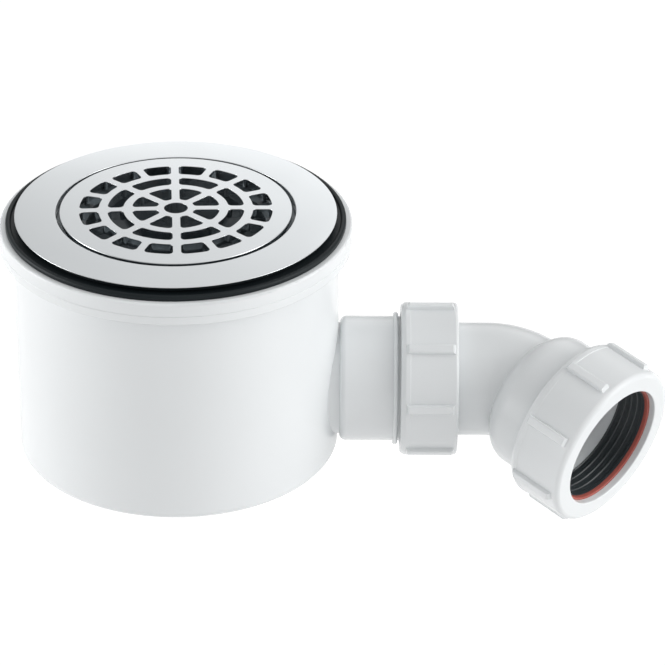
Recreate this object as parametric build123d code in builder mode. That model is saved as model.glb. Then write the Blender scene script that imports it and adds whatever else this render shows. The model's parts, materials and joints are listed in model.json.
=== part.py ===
from build123d import *
import math
import os

# Shower trap: a bucket that holds a lift-out water-seal cup, a flange with a drop-in grid that screws
# down through the shower tray, and a compression outlet on a swivelling bend.
# Millimetres, +Z up, +X along the outlet spigot. The origin is the centre of the plane on which the
# underside of a shower tray is clamped, which is the top of the tray seal.

# Gaps between pieces that fit together
thread_gap = 0.4
slide_gap = 0.4
seat_gap = 0.2
ring_gap = 0.05

# Flange that screws down through the waste hole of the tray
skirt_thread_diameter = 88.0
skirt_thread_depth = 0.9
skirt_length = 19.0
skirt_wall = 2.5
flange_cover = 12.0
flange_edge = 0.7
flange_rise = 0.6
flange_crown = 0.15
lip_round = 0.5
edge_round = 0.35
recess_wall = 1.4
seat_width = 4.6
seat_thickness = 2.2
throat_wall = 2.3
throat_length = 7.0

# Grid that drops into the flange
grid_gap = 1.3
grid_proud = 0.25
grid_thickness = 3.0
grid_crown = 0.6
grid_edge_round = 0.8
grid_border = 6.6
grid_turn = 4.1
hub_hole_diameter = 8.2
hub_ring = 2.5
slot_ring = 3.05
spoke_width = 2.8
spoke_count = 8
slot_corner = 0.8
row_shares = (0.41, 0.26, 0.33)

# Washers of the tray clamp
flange_washer_thickness = 1.0
flange_washer_inset = 1.2
tray_seal_thickness = 1.9
tray_seal_inset = 2.1
tray_seal_round = 1.1
washer_hole_gap = 0.8

# Bucket and the collar welded on it
body_clearance = 7.0
body_wall = 2.8
body_floor = 3.0
body_depth = 87.25
body_bottom_round = 3.0
rim_overhang = 4.5
rim_height = 8.1
rim_round = 0.7
weld_line_depth = 0.25
collar_height = 4.8
collar_plate = 3.0
collar_sleeve_wall = 2.6
collar_sleeve_length = 18.2
weld_lip_depth = 2.8
weld_lip_wall = 2.2

# Dip tube that hangs in the flange, with the ring that seals it there
dip_rim_thickness = 1.5
dip_bore_diameter = 42.0
dip_wall = 2.0
dip_neck_length = 6.5
dip_neck_wall = 4.4
dip_cone_depth = 13.5
dip_floor_gap = 11.1
o_ring_section = 2.6
o_ring_drop = 3.5
groove_width = 2.9

# Cup that stands in the bucket and holds the water seal
cup_lift_gap = 1.5
cup_wall = 1.8
cup_foot_height = 3.0
cup_foot_width = 2.0
cup_foot_inset = 2.5
weir_drop = 18.3
seat_ring_height = 2.0
seat_ring_width = 2.0

# Outlet spigot on the bucket
outlet_height = 25.05
waterway_diameter = 35.3
neck_wall = 2.1
neck_length = 0.6
shoulder_share = 0.95
spigot_wall = 4.5
barrel_length = 18.9
bead_height = 1.45
bead_width = 1.6
bead_round = 0.7
spigot_thread_length = 11.2
spigot_thread_depth = 1.2

# Union between the spigot and the bend
union_washer_thickness = 3.0
union_collar_thickness = 3.0
union_slip_thickness = 1.0
union_lip = 3.0
union_wall = 3.3
union_stand_off = 0.7

# Bend, turned about the spigot towards the front and a little down
pipe_wall = 2.4
tail_reach = 19.0
bend_angle = 43.0
bend_turn = 16.9
inner_bend = 0.4

# Compression socket for the waste pipe
waste_pipe_diameter = 43.0
pipe_gap = 0.15
crease_step = 0.3
shoulder_length = 4.3
socket_shoulder = 0.2
socket_round = 8.5
stop_depth = 6.4
socket_depth = 18.3
socket_wall = 1.2
socket_thread_length = 16.0
socket_thread_depth = 1.2
outlet_seal_length = 9.4
outlet_seal_step = 1.9
outlet_seal_lip = 1.0
ridge_count = 4
ridge_height = 0.7
ridge_land = 0.5
slip_washer_thickness = 2.3
slip_washer_gap = 0.5
outlet_lip = 2.5
outlet_lip_gap = 1.2
outlet_wall = 3.3

# Grip ribs and edges that both nuts share
rib_count = 8
rib_width = 3.3
rib_height = 1.6
rib_slope = 0.9
rib_root = 0.6
union_front_round = 1.2
outlet_front_round = 2.05
nut_rear_chamfer = 0.8
nut_rear_land = 1.6
rib_rear_margin = 1.7
union_rib_margin = 1.0
outlet_rib_margin = 2.6
union_rib_turn = 38.8
outlet_rib_turn = 6.2

# Heights in the clamp, from the tray plane
flange_under = flange_washer_thickness
flange_rim_top = flange_under + flange_edge
lip_top = flange_rim_top + flange_rise
grid_top = lip_top + grid_proud
grid_under = grid_top - grid_thickness
dip_seat = grid_under - dip_rim_thickness
skirt_bottom = flange_under - skirt_length
ledge = -tray_seal_thickness

# Radii outward from the skirt thread
skirt_crest = skirt_thread_diameter / 2
skirt_root = skirt_crest - skirt_thread_depth
recess_radius = skirt_root - recess_wall
skirt_bore = skirt_root - skirt_wall
throat_radius = skirt_bore - seat_width
flange_radius = skirt_crest + flange_cover
grid_radius = recess_radius - grid_gap
washer_hole = skirt_crest + washer_hole_gap
collar_bore = skirt_crest + thread_gap
sleeve_radius = collar_bore + collar_sleeve_wall
body_bore = sleeve_radius + body_clearance
body_radius = body_bore + body_wall
rim_radius = body_radius + rim_overhang

# Heights of the bucket
weld_height = ledge - collar_height
rim_bottom = ledge - rim_height
base = ledge - body_depth
floor = base + body_floor
weir = ledge - weir_drop
cup_underside = floor + cup_foot_height
cup_floor = cup_underside + cup_wall
cup_radius = throat_radius - cup_lift_gap
foot_radius = cup_radius - cup_foot_inset
dip_bottom = cup_floor + dip_floor_gap
outlet_z = base + outlet_height

# Radii and stations along the outlet spigot
waterway = waterway_diameter / 2
neck_radius = waterway + neck_wall
spigot_root = waterway + spigot_wall
bead_radius = spigot_root + bead_height
union_bore = spigot_root + spigot_thread_depth + thread_gap
union_radius = union_bore + union_wall
tail_radius = waterway + pipe_wall
collar_radius = spigot_root
spigot_inside = body_bore / 2
neck_end = body_radius + neck_length
bead_start = neck_end + barrel_length
bead_end = bead_start + bead_width
spigot_end = bead_end + spigot_thread_length
tail_end = spigot_end + union_washer_thickness
collar_end = tail_end + union_collar_thickness
union_lip_start = collar_end + union_slip_thickness
union_front = union_lip_start + union_lip
union_rear = bead_end + union_stand_off
corner_x = union_front + tail_reach

# Bend and stations along the outlet socket, counted from the corner where the two axes cross
bend_radius = tail_radius + inner_bend
bend_tangent = bend_radius * math.tan(math.radians(bend_angle / 2))
bend_start = corner_x - bend_tangent
pipe_stop = bend_tangent + stop_depth
seal_start = pipe_stop + socket_depth
socket_mouth = seal_start + outlet_seal_length
seal_end = socket_mouth + outlet_seal_lip
outlet_lip_start = seal_end + slip_washer_thickness
outlet_front = outlet_lip_start + outlet_lip
outlet_rear = socket_mouth - socket_thread_length

# Radii of the outlet socket
waste_pipe = waste_pipe_diameter / 2
seal_crest = waste_pipe + pipe_gap
socket_bore = waste_pipe + slide_gap
seal_recess = socket_bore + outlet_seal_step
socket_root = seal_recess + socket_wall
socket_radius = socket_root + socket_shoulder
outlet_bore = socket_root + socket_thread_depth + thread_gap
outlet_radius = outlet_bore + outlet_wall
outlet_hole = waste_pipe + outlet_lip_gap

# Frames whose X is a radius and whose Y is the axis that each group of pieces is turned about
body_frame = Plane.XZ
spigot_frame = Plane(origin=(0, 0, outlet_z), x_dir=(0, 0, 1), z_dir=(0, 1, 0))
turn = math.radians(bend_turn)
bend_side = Vector(0, -math.cos(turn), -math.sin(turn))
spigot_direction = Vector(1, 0, 0)
bend_normal = spigot_direction.cross(bend_side)
corner = Vector(corner_x, 0, outlet_z)
outlet_direction = spigot_direction.rotate(Axis((0, 0, 0), bend_normal), bend_angle)
outlet_frame = Plane(origin=corner, x_dir=bend_normal, z_dir=bend_normal.cross(outlet_direction))
bend_plane = Plane(origin=(bend_start, 0, outlet_z), z_dir=spigot_direction)
bend_axis = Axis(bend_plane.origin + bend_side * bend_radius, bend_normal)


def turned(frame, outline, rounds=(), mode=Mode.ADD):
    """Turn a closed outline of (radius, station) points about the frame's own Y axis.

    rounds holds (corner, radius) pairs for the corners of the outline that are rounded.
    """
    with BuildSketch(frame) as section:
        with BuildLine():
            Polyline(*outline, close=True)
        make_face()
        for place, radius in rounds:
            fillet(section.vertices().sort_by_distance(place)[0], radius)
    revolve(section.sketch, axis=Axis(frame.origin, frame.y_dir), mode=mode)


def bored(frame, radius, start, end):
    """Cut a round bore about the frame's own Y axis."""
    turned(frame, [(0, start), (radius, start), (radius, end), (0, end)], mode=Mode.SUBTRACT)


def ring(frame, inner, outer, start, end, rounds=()):
    """Make a ring of rectangular section, with some of its corners rounded."""
    turned(frame, [(inner, start), (outer, start), (outer, end), (inner, end)], rounds)


def gripped_nut(frame, hole, bore, outer, rear, lip_start, front, front_round, rib_margin, first_rib):
    """Make a nut with a lip at its front and sloped grip ribs round its wall."""
    outline = [
        (bore, rear),
        (outer - nut_rear_chamfer, rear),
        (outer, rear + nut_rear_land),
        (outer, front),
        (hole, front),
        (hole, lip_start),
        (bore, lip_start),
    ]
    turned(frame, outline, [((outer, front), front_round)])
    rib_start = rear + rib_rear_margin
    rib_end = front - rib_margin
    crest = outer + rib_height
    rib_outline = [
        (outer - rib_root, rib_start),
        (crest, rib_start + rib_slope),
        (crest, rib_end - rib_slope),
        (outer - rib_root, rib_end),
    ]
    for index in range(rib_count):
        rib_turn = Rotation(0, first_rib + index * 360 / rib_count, 0)
        with BuildSketch(Plane(frame.location * rib_turn)) as rib:
            with BuildLine():
                Polyline(*rib_outline, close=True)
            make_face()
        extrude(rib.sketch, amount=rib_width / 2, both=True)


os.makedirs("parts", exist_ok=True)

# Bucket with its outlet spigot and the ring that keeps the cup in the middle
with BuildPart() as trap_body:
    turned(
        body_frame,
        [
            (0, base),
            (body_radius, base),
            (body_radius, rim_bottom),
            (rim_radius, rim_bottom),
            (rim_radius, weld_height),
            (0, weld_height),
        ],
        [
            ((body_radius, base), body_bottom_round),
            ((rim_radius, rim_bottom), rim_round),
            ((rim_radius, weld_height), weld_line_depth),
        ],
    )
    turned(
        spigot_frame,
        [
            (0, spigot_inside),
            (neck_radius, spigot_inside),
            (neck_radius, neck_end),
            (spigot_root, neck_end),
            (spigot_root, bead_start),
            (bead_radius, bead_start),
            (bead_radius, bead_end),
            (spigot_root, bead_end),
            (spigot_root, spigot_end),
            (0, spigot_end),
        ],
        [
            ((spigot_root, neck_end), shoulder_share * (spigot_root - neck_radius)),
            ((bead_radius, bead_start), bead_round),
            ((bead_radius, bead_end), bead_round),
        ],
    )
    bored(body_frame, body_bore, floor, weld_height)
    bored(spigot_frame, waterway, spigot_inside, spigot_end)
    seat_ring_bore = foot_radius + slide_gap
    ring(body_frame, seat_ring_bore, seat_ring_bore + seat_ring_width, floor, floor + seat_ring_height)
trap_body.part.label = "trap_body"
export_step(trap_body.part, "parts/trap_body.step")

# Collar welded on the bucket, with the sleeve that takes the flange's thread
with BuildPart() as body_collar:
    weld_lip = body_bore - seat_gap
    turned(
        body_frame,
        [
            (collar_bore, ledge),
            (rim_radius, ledge),
            (rim_radius, weld_height),
            (weld_lip, weld_height),
            (weld_lip, weld_height - weld_lip_depth),
            (weld_lip - weld_lip_wall, weld_height - weld_lip_depth),
            (weld_lip - weld_lip_wall, ledge - collar_plate),
            (sleeve_radius, ledge - collar_plate),
            (sleeve_radius, ledge - collar_sleeve_length),
            (collar_bore, ledge - collar_sleeve_length),
        ],
        [
            ((rim_radius, ledge), rim_round),
            ((rim_radius, weld_height), weld_line_depth),
        ],
    )
body_collar.part.label = "body_collar"
export_step(body_collar.part, "parts/body_collar.step")

# Rubber seal between the collar's ledge and the underside of the tray
with BuildPart() as tray_seal:
    seal_radius = rim_radius - tray_seal_inset
    ring(body_frame, washer_hole, seal_radius, ledge, 0, [((seal_radius, 0), tray_seal_round)])
tray_seal.part.label = "tray_seal"
export_step(tray_seal.part, "parts/tray_seal.step")

# Thin washer between the top of the tray and the flange
with BuildPart() as flange_washer:
    ring(body_frame, washer_hole, flange_radius - flange_washer_inset, 0, flange_under)
flange_washer.part.label = "flange_washer"
export_step(flange_washer.part, "parts/flange_washer.step")

# Plated flange: a shallow crowned rim, the recess for the grid and the threaded skirt
with BuildPart() as flange:
    with BuildSketch(body_frame) as flange_section:
        with BuildLine():
            crown_middle = (
                (flange_radius + recess_radius) / 2,
                (flange_rim_top + lip_top) / 2 + flange_crown,
            )
            ThreePointArc((flange_radius, flange_rim_top), crown_middle, (recess_radius, lip_top))
            Polyline(
                (recess_radius, lip_top),
                (recess_radius, dip_seat),
                (throat_radius, dip_seat),
                (throat_radius, dip_seat - throat_length),
                (throat_radius + throat_wall, dip_seat - throat_length),
                (throat_radius + throat_wall, dip_seat - seat_thickness),
                (skirt_bore, dip_seat - seat_thickness),
                (skirt_bore, skirt_bottom),
                (skirt_root, skirt_bottom),
                (skirt_root, flange_under),
                (flange_radius, flange_under),
                (flange_radius, flange_rim_top),
            )
        make_face()
        fillet(flange_section.vertices().sort_by_distance((recess_radius, lip_top))[0], lip_round)
        fillet(flange_section.vertices().sort_by_distance((flange_radius, flange_rim_top))[0], edge_round)
    revolve(axis=Axis.Z)
flange.part.label = "flange"
export_step(flange.part, "parts/flange.step")

# Pierced grid: a crowned disc with a hub hole and three rows of slots between radial spokes
with BuildPart() as grid:
    with BuildSketch(body_frame) as grid_section:
        with BuildLine():
            TangentArc((0, grid_top + grid_crown), (grid_radius, grid_top), tangent=(1, 0))
            Polyline((grid_radius, grid_top), (grid_radius, grid_under), (0, grid_under))
            Line((0, grid_under), (0, grid_top + grid_crown))
        make_face()
        fillet(grid_section.vertices().sort_by_distance((grid_radius, grid_top))[0], grid_edge_round)
    revolve(axis=Axis.Z)
    grid_floor = Plane.XY.offset(grid_under).rotated((0, 0, grid_turn))
    with BuildSketch(grid_floor):
        Circle(hub_hole_diameter / 2)
    extrude(amount=grid_thickness + grid_crown, mode=Mode.SUBTRACT)
    row_start = hub_hole_diameter / 2 + hub_ring
    slot_space = grid_radius - grid_border - row_start - (len(row_shares) - 1) * slot_ring
    for row, share in enumerate(row_shares):
        row_end = row_start + share * slot_space
        outermost = row == len(row_shares) - 1
        bars = spoke_count if outermost else spoke_count // 2
        with BuildSketch(grid_floor) as slots:
            Circle(row_end)
            Circle(row_start, mode=Mode.SUBTRACT)
            with PolarLocations(0, bars, angular_range=180):
                Rectangle(2 * grid_radius, spoke_width, mode=Mode.SUBTRACT)
            fillet(slots.vertices(), slot_corner)
        extrude(amount=grid_thickness + grid_crown, mode=Mode.SUBTRACT)
        row_start = row_end + slot_ring
grid.part.label = "grid"
export_step(grid.part, "parts/grid.step")

# Dip tube: a funnel whose rim rests in the flange under the grid, with a groove for its ring
with BuildPart() as dip_tube:
    dip_rim = recess_radius - slide_gap
    dip_neck = throat_radius - slide_gap
    neck_bottom = dip_seat - dip_neck_length
    dip_bore = dip_bore_diameter / 2
    cone_bottom = neck_bottom - dip_cone_depth
    o_ring_height = dip_seat - o_ring_drop
    groove_root = throat_radius - ring_gap - o_ring_section
    turned(
        body_frame,
        [
            (dip_rim, grid_under),
            (dip_rim, dip_seat),
            (dip_neck, dip_seat),
            (dip_neck, o_ring_height + groove_width / 2),
            (groove_root, o_ring_height + groove_width / 2),
            (groove_root, o_ring_height - groove_width / 2),
            (dip_neck, o_ring_height - groove_width / 2),
            (dip_neck, neck_bottom),
            (dip_bore + dip_wall, cone_bottom),
            (dip_bore + dip_wall, dip_bottom),
            (dip_bore, dip_bottom),
            (dip_bore, cone_bottom),
            (dip_neck - dip_neck_wall, neck_bottom),
            (dip_neck - dip_neck_wall, dip_seat),
            (dip_neck, grid_under),
        ],
    )
dip_tube.part.label = "dip_tube"
export_step(dip_tube.part, "parts/dip_tube.step")

# Rubber ring that seals the dip tube in the flange's throat
with BuildPart() as dip_tube_o_ring:
    with Locations((0, 0, o_ring_height)):
        Torus(groove_root + o_ring_section / 2, o_ring_section / 2)
dip_tube_o_ring.part.label = "dip_tube_o_ring"
export_step(dip_tube_o_ring.part, "parts/dip_tube_o_ring.step")

# Cup that holds the water seal and overflows at its rim into the bucket
with BuildPart() as seal_cup:
    turned(
        body_frame,
        [
            (0, cup_underside),
            (foot_radius - cup_foot_width, cup_underside),
            (foot_radius - cup_foot_width, floor),
            (foot_radius, floor),
            (foot_radius, cup_underside),
            (cup_radius, cup_underside),
            (cup_radius, weir),
            (cup_radius - cup_wall, weir),
            (cup_radius - cup_wall, cup_floor),
            (0, cup_floor),
        ],
        [
            ((cup_radius, cup_underside), cup_wall),
            ((cup_radius - cup_wall, cup_floor), cup_wall),
        ],
    )
seal_cup.part.label = "seal_cup"
export_step(seal_cup.part, "parts/seal_cup.step")

# Flat rubber washer between the end of the spigot and the bend
with BuildPart() as union_washer:
    ring(spigot_frame, waterway + seat_gap, spigot_root, spigot_end, tail_end)
union_washer.part.label = "union_washer"
export_step(union_washer.part, "parts/union_washer.step")

# Bend: a collared tail in the union, a swept knuckle and the compression socket
with BuildPart() as elbow:
    turned(
        spigot_frame,
        [
            (0, tail_end),
            (collar_radius, tail_end),
            (collar_radius, collar_end),
            (tail_radius, collar_end),
            (tail_radius, bend_start),
            (0, bend_start),
        ],
    )
    with BuildSketch(bend_plane):
        Circle(tail_radius)
    revolve(axis=bend_axis, revolution_arc=bend_angle)
    turned(
        outlet_frame,
        [
            (0, bend_tangent),
            (tail_radius + crease_step, bend_tangent),
            (socket_radius, bend_tangent + shoulder_length),
            (socket_radius, outlet_rear),
            (socket_root, outlet_rear + socket_shoulder),
            (socket_root, socket_mouth),
            (0, socket_mouth),
        ],
        [((socket_radius, bend_tangent + shoulder_length), socket_round)],
    )
    bored(spigot_frame, waterway, tail_end, bend_start)
    with BuildSketch(bend_plane):
        Circle(waterway)
    revolve(axis=bend_axis, revolution_arc=bend_angle, mode=Mode.SUBTRACT)
    bored(outlet_frame, waterway, bend_tangent, pipe_stop)
    bored(outlet_frame, socket_bore, pipe_stop, seal_start)
    bored(outlet_frame, seal_recess, seal_start, socket_mouth)
elbow.part.label = "elbow"
export_step(elbow.part, "parts/elbow.step")

# Slip ring that lets the union nut turn on the bend's collar
with BuildPart() as union_slip_ring:
    ring(spigot_frame, tail_radius + slide_gap, collar_radius, collar_end, union_lip_start)
union_slip_ring.part.label = "union_slip_ring"
export_step(union_slip_ring.part, "parts/union_slip_ring.step")

# Union nut that draws the bend on to the spigot
with BuildPart() as union_nut:
    gripped_nut(
        spigot_frame,
        tail_radius + slide_gap,
        union_bore,
        union_radius,
        union_rear,
        union_lip_start,
        union_front,
        union_front_round,
        union_rib_margin,
        union_rib_turn,
    )
union_nut.part.label = "union_nut"
export_step(union_nut.part, "parts/union_nut.step")

# Ribbed rubber seal that grips the waste pipe
with BuildPart() as outlet_seal:
    seal_outer = seal_recess - seat_gap
    ridge_pitch = (seal_end - seal_start - ridge_land) / ridge_count
    valley = seal_crest + ridge_height
    seal_outline = [
        (socket_root - seat_gap, socket_mouth),
        (socket_root - seat_gap, seal_end),
        (seal_crest, seal_end),
    ]
    for index in range(ridge_count):
        land_end = seal_end - index * ridge_pitch - ridge_land
        next_land = seal_end - (index + 1) * ridge_pitch
        seal_outline.append((seal_crest, land_end))
        seal_outline.append((valley, (land_end + next_land) / 2))
        seal_outline.append((seal_crest, next_land))
    seal_outline.append((seal_crest, seal_start))
    seal_outline.append((seal_outer, seal_start))
    seal_outline.append((seal_outer, socket_mouth))
    turned(outlet_frame, seal_outline)
outlet_seal.part.label = "outlet_seal"
export_step(outlet_seal.part, "parts/outlet_seal.step")

# Red slip washer between the seal and the lip of the outlet nut
with BuildPart() as slip_washer:
    ring(outlet_frame, waste_pipe + slip_washer_gap, socket_root, seal_end, outlet_lip_start)
slip_washer.part.label = "slip_washer"
export_step(slip_washer.part, "parts/slip_washer.step")

# Outlet nut that squeezes the seal round the waste pipe
with BuildPart() as outlet_nut:
    gripped_nut(
        outlet_frame,
        outlet_hole,
        outlet_bore,
        outlet_radius,
        outlet_rear,
        outlet_lip_start,
        outlet_front,
        outlet_front_round,
        outlet_rib_margin,
        outlet_rib_turn,
    )
outlet_nut.part.label = "outlet_nut"
export_step(outlet_nut.part, "parts/outlet_nut.step")
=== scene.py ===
"""Studio scene of a shower trap.

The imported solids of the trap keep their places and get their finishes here. The pieces that carry its look
stand in for some of them: the plated flange, the pierced grid, the ribbed nuts, the seals and the threads.
Sizes are in millimetres, in the frame of the trap, unless a name or a docstring says otherwise.
"""

from __future__ import annotations

import json
import logging
import math
from dataclasses import dataclass
from enum import Enum
from typing import Callable, Iterator, Sequence

import bmesh
import bpy
from bpy.types import Material, Node, NodeOutputs, NodeSocket, NodeTree, Object
from mathutils import Matrix, Vector

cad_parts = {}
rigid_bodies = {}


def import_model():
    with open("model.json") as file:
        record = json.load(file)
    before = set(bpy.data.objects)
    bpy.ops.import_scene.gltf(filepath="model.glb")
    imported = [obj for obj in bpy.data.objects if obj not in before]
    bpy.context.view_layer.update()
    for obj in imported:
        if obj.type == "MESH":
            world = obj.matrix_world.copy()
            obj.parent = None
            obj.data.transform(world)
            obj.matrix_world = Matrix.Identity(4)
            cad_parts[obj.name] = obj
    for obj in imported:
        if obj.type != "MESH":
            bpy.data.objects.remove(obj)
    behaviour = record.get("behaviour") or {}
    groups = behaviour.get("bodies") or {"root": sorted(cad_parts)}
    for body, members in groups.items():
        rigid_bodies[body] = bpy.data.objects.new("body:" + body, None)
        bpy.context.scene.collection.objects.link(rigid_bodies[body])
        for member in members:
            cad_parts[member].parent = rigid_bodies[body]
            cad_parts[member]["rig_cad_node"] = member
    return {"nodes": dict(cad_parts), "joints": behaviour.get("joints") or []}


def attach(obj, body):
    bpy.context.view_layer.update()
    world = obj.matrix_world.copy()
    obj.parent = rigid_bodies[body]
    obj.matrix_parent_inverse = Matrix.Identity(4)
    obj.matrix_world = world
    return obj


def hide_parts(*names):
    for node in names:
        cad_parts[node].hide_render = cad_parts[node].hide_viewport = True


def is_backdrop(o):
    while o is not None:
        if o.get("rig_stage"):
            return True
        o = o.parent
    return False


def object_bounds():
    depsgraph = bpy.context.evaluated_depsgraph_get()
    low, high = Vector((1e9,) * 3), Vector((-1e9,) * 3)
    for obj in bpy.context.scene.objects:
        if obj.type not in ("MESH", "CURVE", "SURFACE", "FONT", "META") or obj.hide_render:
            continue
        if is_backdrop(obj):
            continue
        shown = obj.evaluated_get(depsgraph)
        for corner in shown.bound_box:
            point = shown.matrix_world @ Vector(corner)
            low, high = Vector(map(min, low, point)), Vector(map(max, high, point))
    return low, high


LOG = logging.getLogger("shower_trap")
MM = 0.001
PHOTO_WIDTH = 665.0
SENSOR_WIDTH = 36.0
FULL_TURN = 360.0
POINT_MATCH = 1e-7
MERGE_DISTANCE = 2e-6
X_AXIS = Vector((1.0, 0.0, 0.0))
Z_AXIS = Vector((0.0, 0.0, 1.0))

Place = tuple[float, float]
Colour = tuple[float, float, float, float]
WHITE: Colour = (1.0, 1.0, 1.0, 1.0)


class Body(Enum):
    """Rigid bodies of the trap that a piece can ride on."""

    TRAP = "trap"
    FLANGE = "flange"
    ELBOW = "elbow"
    UNION_NUT = "union_nut"
    OUTLET_NUT = "outlet_nut"
    OUTLET_RING = "outlet_ring"


class Slot(Enum):
    """Material slots of the record."""

    WHITE_PLASTIC = "white_plastic"
    PLATED_PLASTIC = "plated_plastic"
    DARK_PLASTIC = "dark_plastic"
    BLACK_RUBBER = "black_rubber"
    RED_PLASTIC = "red_plastic"


class Side(Enum):
    """The side of a wall on which a thread stands."""

    OUTSIDE = 1.0
    INSIDE = -1.0


class Edge(Enum):
    """Roundings of turned corners: length on each side of the corner, and number of edges."""

    SHARP = (0.0, 1)
    FINE = (0.2, 2)
    PLAIN = (0.3, 2)
    MILD = (0.35, 3)
    SOFT = (0.4, 3)
    BROAD = (0.5, 3)
    SKIRT = (0.6, 3)
    RIM_FOOT = (0.12, 2)
    RIM_SIDE = (0.08, 3)
    RIM_TOP = (0.11, 4)
    LIP = (0.22, 5)
    GRID_RIM = (0.25, 6)
    BEAD = (0.9, 8)
    NUT_BORE = (0.3, 3)
    NUT_MOUTH = (0.45, 4)
    UNION_FRONT = (1.2, 8)
    OUTLET_FRONT = (2.05, 8)
    NOSE = (0.1, 2)
    RIDGE = (0.1, 3)
    GROOVE = (0.15, 3)
    SEAL_END = (0.2, 3)
    DISC = (0.25, 3)


@dataclass(frozen=True)
class Axle:
    """A line that pieces are turned about, with the direction from which turns are counted.

    Attributes:
        origin: Point of the line at station zero.
        direction: Unit vector along the line.
        reference: Unit vector square to the line, at turn zero.
    """

    origin: Vector
    direction: Vector
    reference: Vector

    def placement(self) -> Matrix:
        """Find where a piece modelled about Z has to go.

        Returns:
            The matrix, in metres, that carries such a piece on to this line.
        """
        across = self.direction.cross(self.reference)
        turn = Matrix((self.reference, across, self.direction)).transposed()
        return Matrix.Translation(self.origin * MM) @ turn.to_4x4()


@dataclass(frozen=True)
class Corner:
    """One corner of the outline of a turned piece.

    Attributes:
        radius: Distance from the axle.
        station: Distance along the axle.
        edge: Rounding of the corner.
    """

    radius: float
    station: float
    edge: Edge = Edge.SHARP


def deselect_all() -> None:
    """Leave edit mode and clear the selection."""
    if bpy.context.object and bpy.context.object.mode != "OBJECT":
        bpy.ops.object.mode_set(mode="OBJECT")
    bpy.ops.object.select_all(action="DESELECT")


def make_active(piece: Object) -> None:
    """Select one piece alone and make it the active one.

    Args:
        piece: The piece.
    """
    deselect_all()
    piece.select_set(True)
    bpy.context.view_layer.objects.active = piece


def select_where(piece: Object, kind: str, test: Callable[[object], bool]) -> None:
    """Select elements of the piece in edit mode by a test.

    Args:
        piece: The piece, which is in edit mode.
        kind: "verts" or "edges".
        test: Returns true for an element that is wanted.
    """
    bpy.ops.mesh.select_all(action="DESELECT")
    mesh = bmesh.from_edit_mesh(piece.data)
    for element in getattr(mesh, kind):
        if test(element):
            element.select_set(True)
    mesh.select_flush_mode()
    bmesh.update_edit_mesh(piece.data)


def draw_outline(name: str, points: Sequence[Vector], filled: bool = True) -> Object:
    """Draw a closed chain of edges point by point, by extruding a vertex.

    Args:
        name: Name of the new object.
        points: Points in metres.
        filled: Whether a face fills the chain.

    Returns:
        The new object, left in edit mode.
    """
    deselect_all()
    bpy.ops.mesh.primitive_plane_add(size=MM, location=(0.0, 0.0, 0.0))
    piece = bpy.context.object
    piece.name = name
    piece.data.name = name
    bpy.ops.object.mode_set(mode="EDIT")
    bpy.ops.mesh.select_mode(type="VERT")
    bpy.ops.mesh.select_all(action="SELECT")
    bpy.ops.mesh.merge(type="CENTER")
    bpy.ops.transform.translate(value=points[0])
    for here, there in zip(points, points[1:]):
        bpy.ops.mesh.extrude_vertices_move(TRANSFORM_OT_translate={"value": there - here})
    select_where(piece, "verts", lambda vert: len(vert.link_edges) == 1)
    bpy.ops.mesh.edge_face_add()
    if filled:
        bpy.ops.mesh.select_all(action="SELECT")
        bpy.ops.mesh.edge_face_add()
    return piece


def tidy_shell() -> None:
    """Merge doubles and turn all faces outwards, then leave edit mode."""
    bpy.ops.mesh.select_all(action="SELECT")
    bpy.ops.mesh.remove_doubles(threshold=MERGE_DISTANCE)
    bpy.ops.mesh.normals_make_consistent(inside=False)
    bpy.ops.object.mode_set(mode="OBJECT")


def apply_modifier(piece: Object, kind: str, **settings: object) -> None:
    """Add a modifier to a piece, set it and apply it.

    Args:
        piece: Piece to change.
        kind: Type of the modifier.
        **settings: Attributes of the modifier.
    """
    make_active(piece)
    bpy.ops.object.modifier_add(type=kind)
    modifier = piece.modifiers[-1]
    for key, value in settings.items():
        setattr(modifier, key, value)
    bpy.ops.object.modifier_apply(modifier=modifier.name)


def settle(piece: Object, axle: Axle, smooth_angle: float = 34.0) -> Object:
    """Carry a piece from the Z axis to its axle, apply its place and shade it.

    Args:
        piece: Piece modelled about Z at the world's origin.
        axle: Line that it belongs on.
        smooth_angle: Angle in degrees under which edges are shaded smooth.

    Returns:
        The same piece.
    """
    make_active(piece)
    piece.matrix_world = axle.placement()
    bpy.ops.object.transform_apply(location=True, rotation=True, scale=True)
    bpy.ops.object.shade_smooth_by_angle(angle=math.radians(smooth_angle))
    apply_modifier(piece, "WEIGHTED_NORMAL", mode="FACE_AREA", keep_sharp=True)
    return piece


def turned(name: str, outline: Sequence[Corner], steps: int = 192) -> Object:
    """Turn a closed outline about Z, with its corners rounded.

    Args:
        name: Name of the piece.
        outline: Corners in order.
        steps: Number of steps in a full turn.

    Returns:
        The piece, in object mode at the world's origin.
    """
    points = [Vector((corner.radius, 0.0, corner.station)) * MM for corner in outline]
    piece = draw_outline(name, points)
    for corner, point in zip(outline, points):
        length, segments = corner.edge.value
        if length > 0.0:
            select_where(piece, "verts", lambda vert: (vert.co - point).length < POINT_MATCH)
            bpy.ops.mesh.bevel(offset=length * MM, segments=segments, affect="VERTICES")
    bpy.ops.mesh.select_all(action="SELECT")
    bpy.ops.mesh.delete(type="ONLY_FACE")
    bpy.ops.mesh.select_all(action="SELECT")
    bpy.ops.mesh.spin(steps=steps, angle=math.tau, center=(0.0, 0.0, 0.0), axis=Z_AXIS)
    tidy_shell()
    return piece


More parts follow.
